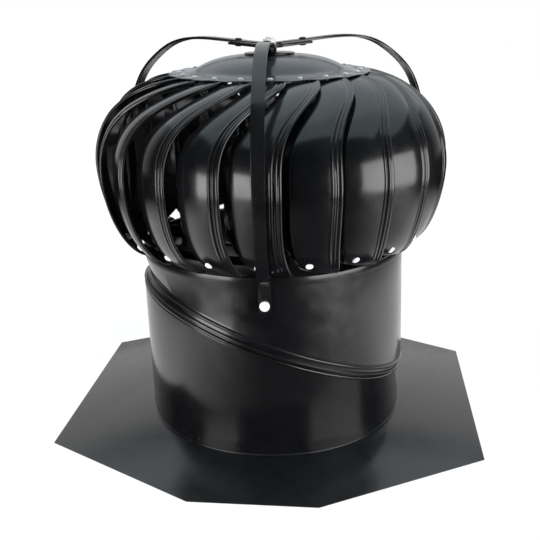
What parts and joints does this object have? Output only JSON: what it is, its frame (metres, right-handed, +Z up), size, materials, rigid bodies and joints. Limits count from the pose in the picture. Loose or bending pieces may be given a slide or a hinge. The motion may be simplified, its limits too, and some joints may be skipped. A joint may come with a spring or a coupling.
{
  "type": "roof turbine ventilator",
  "caption": "Roof turbine ventilator: a spinning head of twisted vanes, held by outside braces on a round collar with an oblique swivel seam, over a flat flashing plate with clipped corners.",
  "frame": {"origin": "on the duct axis, at the underside of the flashing plate", "axes": "+Z up along the duct and the turbine's shaft, -Y towards the front brace, plate edges square to X and Y"},
  "size_m": [0.4826, 0.4826, 0.4377],
  "materials": {
    "body_paint": "satin black enamel",
    "flashing_paint": "satin black enamel",
    "vane_paint": "semi-gloss black enamel",
    "cap_paint": "satin black enamel",
    "brace_paint": "semi-gloss black enamel",
    "bright_zinc": "bright zinc plate",
    "bearing_bronze": "sintered bronze"
  },
  "bodies": {
    "base": {"flashing_plate": "flashing_paint", "lower_collar": "body_paint"},
    "upper": {"bolt_front": "bright_zinc", "bolt_left": "bright_zinc", "bolt_nut_front": "bright_zinc", "bolt_nut_left": "bright_zinc", "bolt_nut_right": "bright_zinc", "bolt_right": "bright_zinc", "bottom_nut": "bright_zinc", "brace_front": "brace_paint", "brace_hub": "brace_paint", "brace_left": "brace_paint", "brace_right": "brace_paint", "hub_rivet_front": "bright_zinc", "hub_rivet_left": "bright_zinc", "hub_rivet_right": "bright_zinc", "lower_brace": "body_paint", "shaft": "bright_zinc", "thrust_collar": "bright_zinc", "top_nut": "bright_zinc", "upper_collar": "body_paint"},
    "turbine": {"vane_01": "vane_paint", "vane_02": "vane_paint", "vane_03": "vane_paint", "vane_04": "vane_paint", "vane_05": "vane_paint", "vane_06": "vane_paint", "vane_07": "vane_paint", "vane_08": "vane_paint", "vane_09": "vane_paint", "vane_10": "vane_paint", "vane_11": "vane_paint", "vane_12": "vane_paint", "vane_13": "vane_paint", "vane_14": "vane_paint", "vane_15": "vane_paint", "vane_16": "vane_paint", "vane_17": "vane_paint", "vane_18": "vane_paint", "vane_19": "vane_paint", "vane_20": "vane_paint", "vane_21": "vane_paint", "bottom_ring": "body_paint", "cap": "cap_paint", "upper_housing": "brace_paint", "upper_bush": "bearing_bronze", "rotor_spider": "body_paint", "lower_bush": "bearing_bronze"}
  },
  "joints": [
    {"name": "pitch_swivel", "type": "hinge", "parent": "base", "child": "upper", "pos_m": [0, 0, 0.112], "axis": [0.3368, 0.1226, 0.9336], "continuous": true},
    {"name": "turbine_spin", "type": "hinge", "parent": "upper", "child": "turbine", "pos_m": [0, 0, 0.305], "axis": [0, 0, 1], "continuous": true}
  ]
}
